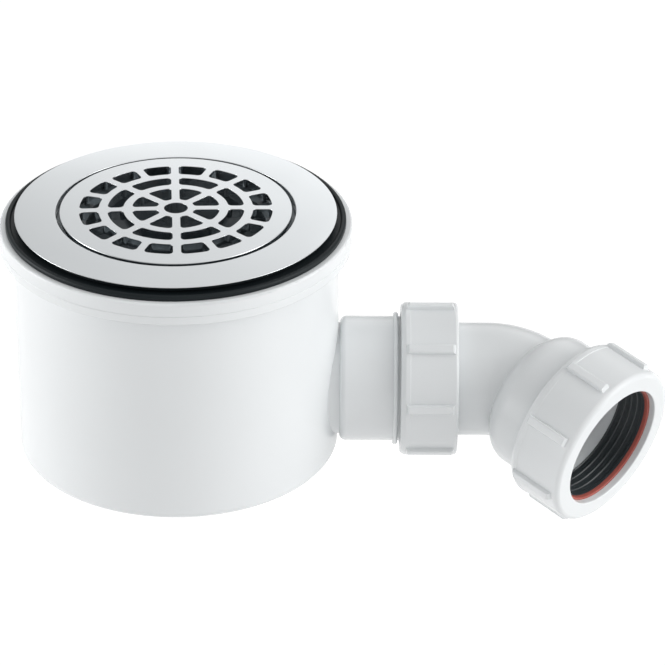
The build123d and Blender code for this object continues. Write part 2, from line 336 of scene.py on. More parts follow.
def turned_copies(piece: Object, first: float, count: int) -> Object:
    """Copy a piece evenly about Z and join the copies.

    Args:
        piece: Piece that is used up.
        first: Turn of the first copy in degrees.
        count: Number of copies.

    Returns:
        One piece that holds all copies.
    """
    copies = []
    for index in range(count):
        turn = math.radians(first + index * FULL_TURN / count)
        copy = piece.copy()
        copy.data = piece.data.copy()
        copy.data.transform(Matrix.Rotation(turn, 4, "Z"))
        bpy.context.scene.collection.objects.link(copy)
        copies.append(copy)
    bpy.data.objects.remove(piece)
    make_active(copies[0])
    for copy in copies[1:]:
        copy.select_set(True)
    bpy.ops.object.join()
    return bpy.context.object


def set_inputs(tree: NodeTree, node: Node, values: dict[str | int, object]) -> None:
    """Set the inputs of a shader node.

    Args:
        tree: Node tree that holds it.
        node: The node.
        values: Values by input, each a plain value or a socket that is linked to it.
    """
    for key, value in values.items():
        if isinstance(value, NodeSocket):
            tree.links.new(value, node.inputs[key])
        else:
            node.inputs[key].default_value = value


def add_node(tree: NodeTree, kind: str, values: dict[str | int, object], **settings: object) -> NodeOutputs:
    """Add a shader node.

    Args:
        tree: Node tree that it goes into.
        kind: Type of the node, without its prefix.
        values: Values for `set_inputs`.
        **settings: Attributes of the node, which are set first.

    Returns:
        The outputs of the node.
    """
    node = tree.nodes.new(f"ShaderNode{kind}")
    for key, value in settings.items():
        setattr(node, key, value)
    set_inputs(tree, node, values)
    return node.outputs


def math_node(tree: NodeTree, operation: str, *values: float | NodeSocket) -> NodeSocket:
    """Add a math node on these values and return the socket of its result."""
    return add_node(tree, "Math", dict(enumerate(values)), operation=operation)["Value"]


class ShaderGroup:
    """A shader node group that is built once and placed in several materials."""

    name = ""
    inputs: dict[str, str] = {}
    outputs: dict[str, str] = {}

    @classmethod
    def tree(cls) -> NodeTree:
        """Build the group on first use.

        Returns:
            The node tree of the group.
        """
        made = bpy.data.node_groups.get(cls.name)
        if made:
            return made
        tree = bpy.data.node_groups.new(cls.name, "ShaderNodeTree")
        for way, sockets in (("INPUT", cls.inputs), ("OUTPUT", cls.outputs)):
            for label, kind in sockets.items():
                tree.interface.new_socket(name=label, in_out=way, socket_type=f"NodeSocket{kind}")
        cls.wire(tree, tree.nodes.new("NodeGroupInput").outputs, tree.nodes.new("NodeGroupOutput"))
        return tree

    @classmethod
    def wire(cls, tree: NodeTree, given: NodeOutputs, leave: Node) -> None:
        """Add the nodes of the group."""
        raise NotImplementedError

    @classmethod
    def place(cls, tree: NodeTree, values: dict[str, object]) -> NodeOutputs:
        """Place the group in a material, with its values for `set_inputs`."""
        return add_node(tree, "Group", values, node_tree=cls.tree())


class MouldGrain(ShaderGroup):
    """Fine grain that a mould leaves on plastic and rubber."""

    name = "mould_grain"
    inputs = {"Vector": "Vector", "Fine Scale": "Float"}
    outputs = {"Height": "Float"}

    @classmethod
    def wire(cls, tree: NodeTree, given: NodeOutputs, leave: Node) -> None:
        """Mix fine noise with a slow waviness into one height.

        Args:
            tree: Node tree of the group.
            given: Sockets that give the group's inputs.
            leave: Node that takes its outputs.
        """
        place = given["Vector"]
        fine = add_node(tree, "TexNoise", {"Vector": place, "Scale": given["Fine Scale"], "Detail": 3.0})
        wave = add_node(tree, "TexNoise", {"Vector": place, "Scale": 60.0, "Detail": 1.0})
        blend = add_node(tree, "Mix", {"Factor": 0.3, "A": fine["Fac"], "B": wave["Fac"]})
        set_inputs(tree, leave, {"Height": blend["Result"]})


class SurfaceTone(ShaderGroup):
    """Slow drift of colour and gloss over a surface, as from handling and moulding."""

    name = "surface_tone"
    inputs = {
        "Vector": "Vector",
        "Scale": "Float",
        "Main": "Color",
        "Shade": "Color",
        "Low Gloss": "Float",
        "High Gloss": "Float",
    }
    outputs = {"Color": "Color", "Roughness": "Float"}

    @classmethod
    def wire(cls, tree: NodeTree, given: NodeOutputs, leave: Node) -> None:
        """Mix the two colours and the two glosses by one noise.

        Args:
            tree: Node tree of the group.
            given: Sockets that give the group's inputs.
            leave: Node that takes its outputs.
        """
        noise = {"Vector": given["Vector"], "Scale": given["Scale"], "Detail": 2.0, "Roughness": 0.4}
        drift = add_node(tree, "TexNoise", noise)["Fac"]
        band = {"Value": drift, "From Min": 0.2, "From Max": 0.8}
        share = add_node(tree, "MapRange", band, interpolation_type="SMOOTHSTEP")["Result"]
        colours = {"Factor": share, "A": given["Main"], "B": given["Shade"]}
        tint = add_node(tree, "Mix", colours, data_type="RGBA")
        glosses = {"Value": share, "To Min": given["High Gloss"], "To Max": given["Low Gloss"]}
        gloss = add_node(tree, "MapRange", glosses)
        set_inputs(tree, leave, {"Color": tint["Result"], "Roughness": gloss["Result"]})


@dataclass(frozen=True)
class Finish:
    """A finish with a colour that drifts a little and a moulded grain.

    Attributes:
        name: Name of the material.
        slot: Slot of the record that it stands for. It is not used.
        main: Main colour.
        shade: Colour that it drifts towards.
        high_gloss: Lowest roughness.
        low_gloss: Highest roughness.
        drift_scale: Scale of the drift.
        grain_scale: Scale of the fine grain.
        grain_depth: Depth of the grain in millimetres.
        metallic: One for a plated surface, zero for others.
        specular: Specular level of the surface.
    """

    name: str
    slot: Slot
    main: Colour
    shade: Colour
    high_gloss: float
    low_gloss: float
    drift_scale: float = 30.0
    grain_scale: float = 1500.0
    grain_depth: float = 0.004
    metallic: float = 0.0
    specular: float = 0.5

    def material(self) -> Material:
        """Build the material on first use.

        Returns:
            The material.
        """
        made = bpy.data.materials.get(self.name)
        if made:
            return made
        made = bpy.data.materials.new(self.name)
        made.use_nodes = True
        tree = made.node_tree
        place = add_node(tree, "TexCoord", {})["Object"]
        tone = SurfaceTone.place(
            tree,
            {
                "Vector": place,
                "Scale": self.drift_scale,
                "Main": self.main,
                "Shade": self.shade,
                "Low Gloss": self.low_gloss,
                "High Gloss": self.high_gloss,
            },
        )
        grain = MouldGrain.place(tree, {"Vector": place, "Fine Scale": self.grain_scale})
        bump = add_node(tree, "Bump", {"Distance": self.grain_depth * MM, "Height": grain["Height"]})
        surface = {
            "Metallic": self.metallic,
            "Specular IOR Level": self.specular,
            "Base Color": tone["Color"],
            "Roughness": tone["Roughness"],
            "Normal": bump["Normal"],
        }
        set_inputs(tree, tree.nodes["Principled BSDF"], surface)
        return made

    def dress(self, piece: Object) -> None:
        """Give a piece this finish alone.

        Args:
            piece: A modelled piece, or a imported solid, whose slot is known.
        """
        piece.data.materials.clear()
        piece.data.materials.append(self.material())


WHITE_PLASTIC = Finish(
    name="white_moulded_plastic",
    slot=Slot.WHITE_PLASTIC,
    main=(0.793, 0.815, 0.825, 1.0),
    shade=(0.783, 0.805, 0.815, 1.0),
    high_gloss=0.21,
    low_gloss=0.25,
)
PLATED = Finish(
    name="bright_plating",
    slot=Slot.PLATED_PLASTIC,
    main=(0.787, 0.815, 0.831, 1.0),
    shade=(0.757, 0.785, 0.801, 1.0),
    high_gloss=0.10,
    low_gloss=0.15,
    grain_scale=900.0,
    grain_depth=0.0006,
    metallic=1.0,
)
DARK_PLASTIC = Finish(
    name="dark_moulded_plastic",
    slot=Slot.DARK_PLASTIC,
    main=(0.105, 0.125, 0.137, 1.0),
    shade=(0.115, 0.135, 0.147, 1.0),
    high_gloss=0.24,
    low_gloss=0.32,
)
BLACK_RUBBER = Finish(
    name="matt_black_rubber",
    slot=Slot.BLACK_RUBBER,
    main=(0.009, 0.013, 0.015, 1.0),
    shade=(0.012, 0.017, 0.019, 1.0),
    high_gloss=0.38,
    low_gloss=0.46,
    grain_scale=2200.0,
    grain_depth=0.006,
    specular=0.2,
)
SEAL_RUBBER = Finish(
    name="ridged_seal_rubber",
    slot=Slot.BLACK_RUBBER,
    main=(0.022, 0.029, 0.032, 1.0),
    shade=(0.028, 0.036, 0.040, 1.0),
    high_gloss=0.34,
    low_gloss=0.44,
    grain_scale=2200.0,
    grain_depth=0.008,
)
RED_PLASTIC = Finish(
    name="red_washer_plastic",
    slot=Slot.RED_PLASTIC,
    main=(0.44, 0.105, 0.08, 1.0),
    shade=(0.40, 0.092, 0.07, 1.0),
    high_gloss=0.4,
    low_gloss=0.55,
    grain_depth=0.008,
)


def report(piece: Object, body: Body, nodes: Sequence[str] = ()) -> None:
    """Make a piece ride on its body, let it stand for solids and write it to the log.

    Args:
        piece: Finished piece.
        body: Body that it moves with.
        nodes: Solids that it stands for.
    """
    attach(piece, body.value)
    if nodes:
        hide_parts(*nodes)
    LOG.info("%s: %d faces on %s", piece.name, len(piece.data.polygons), body.value)


@dataclass(frozen=True)
class ThreadForm:
    """The form that both halves of a screwed joint share.

    Attributes:
        pitch: Rise of one turn.
        depth: Height of the ridge.
        base_share: Width of the ridge at the wall, as a share of the pitch.
        tip_share: Width of the ridge at its tip, as a share of the pitch.
        steps: Number of steps in one turn.
    """

    pitch: float
    depth: float
    base_share: float = 0.66
    tip_share: float = 0.2
    steps: int = 72


PIPE_THREAD = ThreadForm(pitch=2.309, depth=1.2)
SKIRT_THREAD = ThreadForm(pitch=3.0, depth=0.9, steps=96)


@dataclass(frozen=True)
class ScrewThread:
    """A helical ridge on a wall.

    Attributes:
        name: Name of the piece.
        body: Body that it belongs to.
        axle: Line that it winds about.
        wall: Radius of the wall.
        start: Station of the ridge's middle at turn zero.
        turns: Number of turns.
        form: Form of the ridge.
        side: Side of the wall on which it stands.
        sink: Depth to which the ridge reaches into the wall.
        run_out: Share of a turn over which each end fades into the wall.
        end_height: Share of the ridge's height that is left at its ends.
    """

    name: str
    body: Body
    axle: Axle
    wall: float
    start: float
    turns: float
    form: ThreadForm = PIPE_THREAD
    side: Side = Side.OUTSIDE
    sink: float = 0.15
    run_out: float = 0.18
    end_height: float = 0.04

    def build(self, finish: Finish) -> None:
        """Model the ridge, fade its ends into the wall and dress it.

        Args:
            finish: Finish of the ridge.
        """
        root = self.wall - self.side.value * self.sink
        tip = self.wall + self.side.value * self.form.depth
        base_half = self.form.base_share * self.form.pitch / 2
        tip_half = self.form.tip_share * self.form.pitch / 2
        corners = ((root, -base_half), (tip, -tip_half), (tip, tip_half), (root, base_half))
        section = [Vector((radius, 0.0, self.start + shift)) * MM for radius, shift in corners]
        piece = draw_outline(self.name, section, filled=False)
        bpy.ops.object.mode_set(mode="OBJECT")
        steps = round(self.form.steps * self.turns)
        apply_modifier(
            piece,
            "SCREW",
            angle=math.tau * self.turns,
            screw_offset=self.form.pitch * self.turns * MM,
            steps=steps,
            render_steps=steps,
            use_merge_vertices=False,
        )
        self.fade_ends(piece, len(section), root * MM)
        bpy.ops.object.mode_set(mode="EDIT")
        bpy.ops.mesh.select_all(action="DESELECT")
        bpy.ops.mesh.select_non_manifold()
        bpy.ops.mesh.fill_holes(sides=len(section))
        tidy_shell()
        settle(piece, self.axle)
        finish.dress(piece)
        report(piece, self.body)

    def fade_ends(self, piece: Object, corners: int, root: float) -> None:
        """Lower the ridge into the wall over the first and last part of its turns.

        Args:
            piece: The ridge, about Z.
            corners: Number of corners in its section.
            root: Radius of its foot in metres.
        """
        rings = len(piece.data.vertices) // corners
        reach = self.run_out * self.form.steps
        for index, vert in enumerate(piece.data.vertices):
            ring = index // corners
            share = min(1.0, ring / reach, (rings - 1 - ring) / reach)
            radius = math.hypot(vert.co.x, vert.co.y)
            height = self.end_height + (1.0 - self.end_height) * share
            wanted = root + (radius - root) * height
            vert.co.x *= wanted / radius
            vert.co.y *= wanted / radius


@dataclass
class FlangePlate:
    """Plated flange with a crowned rim, the recess for the grid and a skirt with its thread."""

    axle: Axle
    radius: float = 56.0
    under: float = 1.02
    rim_undercut: float = 0.6
    rim_edge: float = 1.5
    rim_top: float = 1.7
    lip_top: float = 2.3
    crown: float = 0.04
    recess: float = 41.7
    seat: float = -1.95
    throat: float = 36.0
    throat_bottom: float = -8.95
    throat_outer: float = 38.3
    seat_under: float = -4.15
    skirt_bore: float = 40.6
    skirt_bottom: float = -18.0
    skirt_root: float = 43.1
    thread_start: float = -16.4
    thread_turns: float = 5.2

    def crown_corners(self, count: int = 9) -> Iterator[Corner]:
        """Yield the corners of the crowned top, from the outer edge to the lip.

        Args:
            count: Number of equal parts that the top is divided into.

        Yields:
            The corners between the two ends.
        """
        for index in range(1, count):
            share = index / count
            radius = self.radius + (self.recess - self.radius) * share
            station = self.rim_top + (self.lip_top - self.rim_top) * share
            yield Corner(radius, station + 4.0 * self.crown * share * (1.0 - share))

    def outline(self) -> list[Corner]:
        """Return the section of the flange."""
        return [
            Corner(self.radius - self.rim_undercut, self.under, Edge.RIM_FOOT),
            Corner(self.radius, self.rim_edge, Edge.RIM_SIDE),
            Corner(self.radius, self.rim_top, Edge.RIM_TOP),
            *self.crown_corners(),
            Corner(self.recess, self.lip_top, Edge.LIP),
            Corner(self.recess, self.seat, Edge.PLAIN),
            Corner(self.throat, self.seat, Edge.SOFT),
            Corner(self.throat, self.throat_bottom, Edge.SOFT),
            Corner(self.throat_outer, self.throat_bottom, Edge.SOFT),
            Corner(self.throat_outer, self.seat_under, Edge.BROAD),
            Corner(self.skirt_bore, self.seat_under, Edge.BROAD),
            Corner(self.skirt_bore, self.skirt_bottom, Edge.SOFT),
            Corner(self.skirt_root, self.skirt_bottom, Edge.SKIRT),
            Corner(self.skirt_root, self.under, Edge.FINE),
        ]

    def build(self) -> None:
        """Model and dress the flange and its thread."""
        plate = settle(turned("flange_plate", self.outline(), steps=256), self.axle)
        PLATED.dress(plate)
        report(plate, Body.FLANGE, ["flange"])
        ScrewThread(
            name="flange_thread",
            body=Body.FLANGE,
            axle=self.axle,
            wall=self.skirt_root,
            start=self.thread_start,
            turns=self.thread_turns,
            form=SKIRT_THREAD,
        ).build(PLATED)


@dataclass(frozen=True)
class SlotRow:
    """A row of round-cornered slots between radial spokes.

    Attributes:
        inner: Inner radius of the slots.
        outer: Outer radius of the slots.
        count: Number of slots in the row.
        spoke: Width of the spokes.
        corner: Radius of the slots' corners.
    """

    inner: float
    outer: float
    count: int
    spoke: float
    corner: float

    def side_points(self, corner_steps: int = 5) -> list[Place]:
        """Draw the half outline beside a spoke that lies along X.

        Args:
            corner_steps: Number of edges in each corner.

        Returns:
            Its points, from the inner arc to the outer arc.
        """
        offset = self.spoke / 2 + self.corner
        points: list[Place] = []
        for arc, sign in ((self.inner, 1.0), (self.outer, -1.0)):
            reach = arc + sign * self.corner
            along = math.sqrt(reach**2 - offset**2)
            touch = math.atan2(offset, along)
            toward = touch + (math.pi if sign > 0 else 0.0)
            square = -math.pi / 2
            sweep = (square - toward + math.pi) % math.tau - math.pi
            bend = [toward + sweep * step / corner_steps for step in range(corner_steps + 1)]
            if sign < 0:
                bend.reverse()
            points += [(along + self.corner * math.cos(a), offset + self.corner * math.sin(a)) for a in bend]
        return points

    def outline(self, arc_steps: int = 10) -> list[Place]:
        """Draw the slot that starts at turn zero.

        Args:
            arc_steps: Number of edges along the inner and the outer arc.

        Returns:
            The points of its closed outline.
        """
        sector = math.tau / self.count
        near = self.side_points()
        far = []
        for x, y in reversed(near):
            turn = sector - math.atan2(y, x)
            reach = math.hypot(x, y)
            far.append((reach * math.cos(turn), reach * math.sin(turn)))
        outer_arc = self.arc(near[-1], far[0], arc_steps)
        inner_arc = self.arc(far[-1], near[0], arc_steps)
        return near + outer_arc + far + inner_arc

    @staticmethod
    def arc(start: Place, end: Place, steps: int) -> list[Place]:
        """Draw an arc of a circle about the origin.

        Args:
            start: First end of the arc.
            end: Last end of the arc.
            steps: Number of edges along it.

        Returns:
            The points between its ends.
        """
        reach = math.hypot(*start)
        first = math.atan2(start[1], start[0])
        last = math.atan2(end[1], end[0])
        turns = [first + (last - first) * step / steps for step in range(1, steps)]
        return [(reach * math.cos(turn), reach * math.sin(turn)) for turn in turns]


@dataclass
class DrainGrid:
    """Crowned grid with a hub hole and three rows of slots, all with softened edges."""

    axle: Axle
    radius: float = 40.4
    top: float = 2.55
    under: float = -0.45
    crown: float = 0.6
    hub_hole: float = 4.1
    turn: float = 3.2
    slot_edge: float = 0.08
    cutter_reach: float = 1.0
    upper_share: float = 0.995
    rows: tuple[SlotRow, ...] = (
        SlotRow(inner=6.6, outer=15.25, count=8, spoke=2.8, corner=1.25),
        SlotRow(inner=18.3, outer=23.79, count=8, spoke=2.8, corner=1.5),
        SlotRow(inner=26.84, outer=33.6, count=16, spoke=2.8, corner=1.5),
    )

    def blank(self) -> Object:
        """Model the disc before it is pierced.

        Returns:
            The flat disc, about Z.
        """
        piece = turned(
            "drain_grid",
            [
                Corner(0.0, self.under),
                Corner(self.radius, self.under, Edge.PLAIN),
                Corner(self.radius, self.top, Edge.GRID_RIM),
                Corner(0.0, self.top),
            ],
        )
        bpy.ops.object.mode_set(mode="EDIT")
        bpy.ops.mesh.select_all(action="SELECT")
        bpy.ops.mesh.dissolve_limited(angle_limit=math.radians(0.5))
        bpy.ops.object.mode_set(mode="OBJECT")
        return piece

    def cutter(self, name: str, plan: Sequence[Place]) -> Object:
        """Model a prism that stands through the disc.

        Args:
            name: Name of the prism.
            plan: Points of its outline.

        Returns:
            The prism.
        """
        foot = self.under - self.cutter_reach
        piece = draw_outline(name, [Vector((x, y, foot)) * MM for x, y in plan])
        rise = (self.top - self.under + 2.0 * self.cutter_reach) * MM
        bpy.ops.mesh.extrude_region_move(TRANSFORM_OT_translate={"value": (0.0, 0.0, rise)})
        tidy_shell()
        return piece

    def hub_plan(self, steps: int = 40) -> list[Place]:
        """Return the outline of the hub hole."""
        turns = [math.tau * step / steps for step in range(steps)]
        return [(self.hub_hole * math.cos(turn), self.hub_hole * math.sin(turn)) for turn in turns]

    def pierce(self, piece: Object) -> None:
        """Cut the hub hole and the rows of slots out of the disc.

        Args:
            piece: The disc, about Z.
        """
        cutters = [self.cutter("hub_cutter", self.hub_plan())]
        for row in self.rows:
            one = self.cutter("slot_cutter", row.outline())
            cutters.append(turned_copies(one, self.turn, row.count))
        for cutter in cutters:
            apply_modifier(piece, "BOOLEAN", operation="DIFFERENCE", object=cutter, solver="EXACT")
            bpy.data.objects.remove(cutter)

    def raise_crown(self, piece: Object) -> set[int]:
        """Lift the upper face of the disc into its shallow dome.

        Args:
            piece: The pierced disc, about Z.

        Returns:
            The indices of the vertices that lie in the upper face.
        """
        upper = set()
        for vert in piece.data.vertices:
            height = (vert.co.z / MM - self.under) / (self.top - self.under)
            reach = math.hypot(vert.co.x, vert.co.y) / (self.radius * MM)
            vert.co.z += height * self.crown * MM * max(0.0, 1.0 - reach**2)
            if height > self.upper_share:
                upper.add(vert.index)
        return upper

    def shade_crown(self, piece: Object, upper: set[int]) -> None:
        """Give the upper face the dome's own normals, so that it mirrors as one smooth surface.

        Args:
            piece: The finished grid.
            upper: Indices of the vertices of its upper face.
        """
        mesh = piece.data
        slope = 2.0 * self.crown / (self.radius**2 * MM)
        normals = []
        for loop in mesh.loops:
            if loop.vertex_index in upper:
                place = mesh.vertices[loop.vertex_index].co
                normals.append(Vector((slope * place.x, slope * place.y, 1.0)).normalized())
            else:
                normals.append(mesh.corner_normals[loop.index].vector.copy())
        mesh.normals_split_custom_set(normals)

    def build(self) -> None:
        """Model, pierce and dress the grid."""
        piece = self.blank()
        self.pierce(piece)
        apply_modifier(
            piece,
            "BEVEL",
            width=self.slot_edge * MM,
            segments=3,
            limit_method="ANGLE",
            angle_limit=math.radians(50.0),
            use_clamp_overlap=False,
        )
        upper = self.raise_crown(piece)
        settle(piece, self.axle, smooth_angle=40.0)
        self.shade_crown(piece, upper)
        PLATED.dress(piece)
        report(piece, Body.FLANGE, ["grid"])


@dataclass
class TraySeal:
    """Rubber ring under the tray, with a bead along its outer edge."""

    axle: Axle
    hole: float = 44.8
    radius: float = 59.2
    under: float = -1.9
    top: float = 0.0
    web_top: float = -0.7
    bead_width: float = 1.9

    def build(self) -> None:
        """Model and dress the ring."""
        outline = [
            Corner(self.hole, self.under, Edge.FINE),
            Corner(self.radius, self.under, Edge.MILD),
            Corner(self.radius, self.top, Edge.BEAD),
            Corner(self.radius - self.bead_width, self.top, Edge.BEAD),
            Corner(self.radius - self.bead_width, self.web_top),
            Corner(self.hole, self.web_top, Edge.FINE),
        ]
        piece = settle(turned("tray_gasket", outline, steps=256), self.axle)
        BLACK_RUBBER.dress(piece)
        report(piece, Body.TRAP, ["tray_seal"])


@dataclass
class RibbedNut:
    """Plastic nut with a lip at its front, grip ribs round its wall and a thread in its bore."""

    body: Body
    axle: Axle
    hole: float
    bore: float
    outer: float
    rear: float
    lip_start: float
    front: float
    first_rib: float
    front_margin: float
    front_edge: Edge
    thread_start: float
    thread_turns: float
    rib_count: int = 8
    rib_width: float = 3.3
    rib_height: float = 1.6
    rib_slope: float = 0.9
    rib_root: float = 0.6
    rear_margin: float = 1.7
    rear_chamfer: float = 0.8
    rear_land: float = 1.6
    band_rise: float = 0.12
    band_end: float = 3.2
    rib_edge: float = 0.6

    def shell(self) -> Object:
        """Model the turned wall and lip of the nut."""
        return turned(
            f"{self.body.value}_shell",
            [
                Corner(self.bore, self.rear, Edge.NUT_BORE),
                Corner(self.outer - self.rear_chamfer, self.rear, Edge.SOFT),
                Corner(self.outer + self.band_rise, self.rear + self.rear_land, Edge.MILD),
                Corner(self.outer + self.band_rise, self.rear + self.band_end),
                Corner(self.outer, self.rear + self.band_end + self.band_rise),
                Corner(self.outer, self.front, self.front_edge),
                Corner(self.hole, self.front, Edge.NUT_MOUTH),
                Corner(self.hole, self.lip_start, Edge.FINE),
                Corner(self.bore, self.lip_start, Edge.SOFT),
            ],
            steps=160,
        )

    def rib(self) -> Object:
        """Model one grip rib with sloped ends and softened edges.

        Returns:
            The rib, at turn zero about Z.
        """
        start = self.rear + self.rear_margin
        end = self.front - self.front_margin
        foot = self.outer - self.rib_root
        crest = self.outer + self.rib_height
        middle = (foot + crest) / 2 * MM
        centre = (start + end) / 2 * MM
        deselect_all()
        bpy.ops.mesh.primitive_cube_add(
            size=1.0,
            location=(middle, 0.0, centre),
            scale=((crest - foot) * MM, self.rib_width * MM, (end - start) * MM),
        )
        piece = bpy.context.object
        bpy.ops.object.transform_apply(location=True, rotation=True, scale=True)
        bpy.ops.object.mode_set(mode="EDIT")
        for end_side in (1.0, -1.0):
            select_where(
                piece, "verts", lambda vert: vert.co.x > middle and (vert.co.z - centre) * end_side > 0.0
            )
            bpy.ops.transform.translate(value=(0.0, 0.0, -end_side * self.rib_slope * MM))
        select_where(piece, "edges", lambda edge: all(vert.co.x > middle for vert in edge.verts))
        bpy.ops.mesh.bevel(offset=self.rib_edge * MM, segments=3, affect="EDGES")
        tidy_shell()
        return piece

    def build(self) -> None:
        """Model and dress the nut and its thread."""
        shell = self.shell()
        ribs = turned_copies(self.rib(), self.first_rib, self.rib_count)
        apply_modifier(shell, "BOOLEAN", operation="UNION", object=ribs, solver="EXACT")
        bpy.data.objects.remove(ribs)
        settle(shell, self.axle)
        WHITE_PLASTIC.dress(shell)
        report(shell, self.body, [self.body.value])
        ScrewThread(
            name=f"{shell.name}_thread",
            body=self.body,
            axle=self.axle,
            wall=self.bore,
            start=self.thread_start,
            turns=self.thread_turns,
            side=Side.INSIDE,
        ).build(WHITE_PLASTIC)


@dataclass
class OutletPacking:
    """Ridged rubber seal and red slip washer behind the lip of the outlet nut."""

    axle: Axle
    crest: float = 21.65
    recess: float = 23.6
    flange: float = 24.8
    deep: float = 32.756
    mouth: float = 42.156
    front: float = 43.156
    nose: float = 21.95
    nose_front: float = 44.0
    ridge_count: int = 4
    ridge_height: float = 0.4
    ridge_land: float = 0.3
    ridge_flank: float = 0.25
    washer_hole: float = 22.0
    washer_radius: float = 25.0
    washer_front: float = 45.456

    def seal_outline(self) -> list[Corner]:
        """Draw the section of the ridged seal.

        Returns:
            Its corners, in order.
        """
        pitch = (self.front - self.deep - self.ridge_land) / self.ridge_count
        floor = self.crest + self.ridge_height
        corners = [
            Corner(self.recess, self.deep, Edge.PLAIN),
            Corner(self.recess, self.mouth, Edge.FINE),
            Corner(self.flange, self.mouth, Edge.FINE),
            Corner(self.flange, self.front, Edge.PLAIN),
            Corner(self.nose, self.front),
            Corner(self.nose, self.nose_front, Edge.NOSE),
            Corner(self.crest, self.nose_front, Edge.NOSE),
        ]
        for index in range(self.ridge_count):
            land_end = self.front - index * pitch - self.ridge_land
            next_land = self.front - (index + 1) * pitch
            corners += [
                Corner(self.crest, land_end, Edge.RIDGE),
                Corner(floor, land_end - self.ridge_flank, Edge.GROOVE),
                Corner(floor, next_land + self.ridge_flank, Edge.GROOVE),
                Corner(self.crest, next_land, Edge.RIDGE),
            ]
        return [*corners, Corner(self.crest, self.deep, Edge.SEAL_END)]

    def build(self) -> None:
        """Model and dress the seal and the washer."""
        seal = settle(turned("outlet_gasket", self.seal_outline(), steps=160), self.axle)
        SEAL_RUBBER.dress(seal)
        report(seal, Body.ELBOW, ["outlet_seal"])
        washer = turned(
            "slip_disc",
            [
                Corner(self.washer_hole, self.front, Edge.DISC),
                Corner(self.washer_radius, self.front, Edge.DISC),
                Corner(self.washer_radius, self.washer_front, Edge.DISC),
                Corner(self.washer_hole, self.washer_front, Edge.MILD),
            ],
            steps=160,
        )
        settle(washer, self.axle)
        RED_PLASTIC.dress(washer)
        report(washer, Body.OUTLET_RING, ["slip_washer"])


SPIGOT_THREAD_START = 79.4
SOCKET_THREAD_START = 29.0


@dataclass
class MouldedWalls:
    """Solids that are shown as they were packed, with the threads that stand on them."""

    tray_axle: Axle
    spigot_axle: Axle
    outlet_axle: Axle
    spigot_radius: float = 22.15
    spigot_turns: float = 3.85
    socket_radius: float = 25.0
    socket_turns: float = 5.2
    collar_bore: float = 44.4
    collar_thread_start: float = -17.9
    collar_turns: float = 5.0
    finishes: tuple[tuple[Finish, tuple[str, ...]], ...] = (
        (WHITE_PLASTIC, ("trap_body", "body_collar", "seal_cup", "elbow", "union_slip_ring")),
        (DARK_PLASTIC, ("dip_tube",)),
        (BLACK_RUBBER, ("dip_tube_o_ring", "flange_washer", "union_washer")),
    )

    def threads(self) -> list[ScrewThread]:
        """Return the threads of the spigot, the socket and the collar."""
        return [
            ScrewThread(
                name="spigot_thread",
                body=Body.TRAP,
                axle=self.spigot_axle,
                wall=self.spigot_radius,
                start=SPIGOT_THREAD_START,
                turns=self.spigot_turns,
            ),
            ScrewThread(
                name="socket_thread",
                body=Body.ELBOW,
                axle=self.outlet_axle,
                wall=self.socket_radius,
                start=SOCKET_THREAD_START,
                turns=self.socket_turns,
            ),
            ScrewThread(
                name="collar_thread",
                body=Body.TRAP,
                axle=self.tray_axle,
                wall=self.collar_bore,
                start=self.collar_thread_start,
                turns=self.collar_turns,
                form=SKIRT_THREAD,
                side=Side.INSIDE,
            ),
        ]

    def build(self, nodes: dict[str, Object]) -> None:
        """Dress the solids and add their threads.

        Args:
            nodes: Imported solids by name.
        """
        for finish, names in self.finishes:
            for name in names:
                finish.dress(nodes[name])
                LOG.info("%s: dressed in %s", name, finish.name)
        for thread in self.threads():
            thread.build(WHITE_PLASTIC)


@dataclass(frozen=True)
class Glow:
    """A soft bright patch of the surroundings.

    Attributes:
        azimuth: Direction in degrees, from +X towards +Y.
        elevation: Height over the horizon in degrees.
        tightness: How fast the patch fades away from its middle.
        strength: Brightness of its middle.
    """

    azimuth: float
    elevation: float
    tightness: float
    strength: float

    def direction(self) -> Vector:
        """Find where the patch lies.

        Returns:
            The unit vector towards its middle.
        """
        turn = math.radians(self.azimuth)
        rise = math.radians(self.elevation)
        return Vector((math.cos(turn) * math.cos(rise), math.sin(turn) * math.cos(rise), math.sin(rise)))

    def add(self, tree: NodeTree, towards: NodeSocket) -> NodeSocket:
        """Add the patch to the node tree of the surroundings.

        Args:
            tree: Node tree of the world.
            towards: Direction of view.

        Returns:
            The socket that gives the brightness of the patch.
        """
        near = add_node(tree, "VectorMath", {0: towards, 1: self.direction()}, operation="DOT_PRODUCT")
        fall = math_node(tree, "MULTIPLY_ADD", near["Value"], self.tightness, -self.tightness)
        return math_node(tree, "MULTIPLY", math_node(tree, "EXPONENT", fall), self.strength)


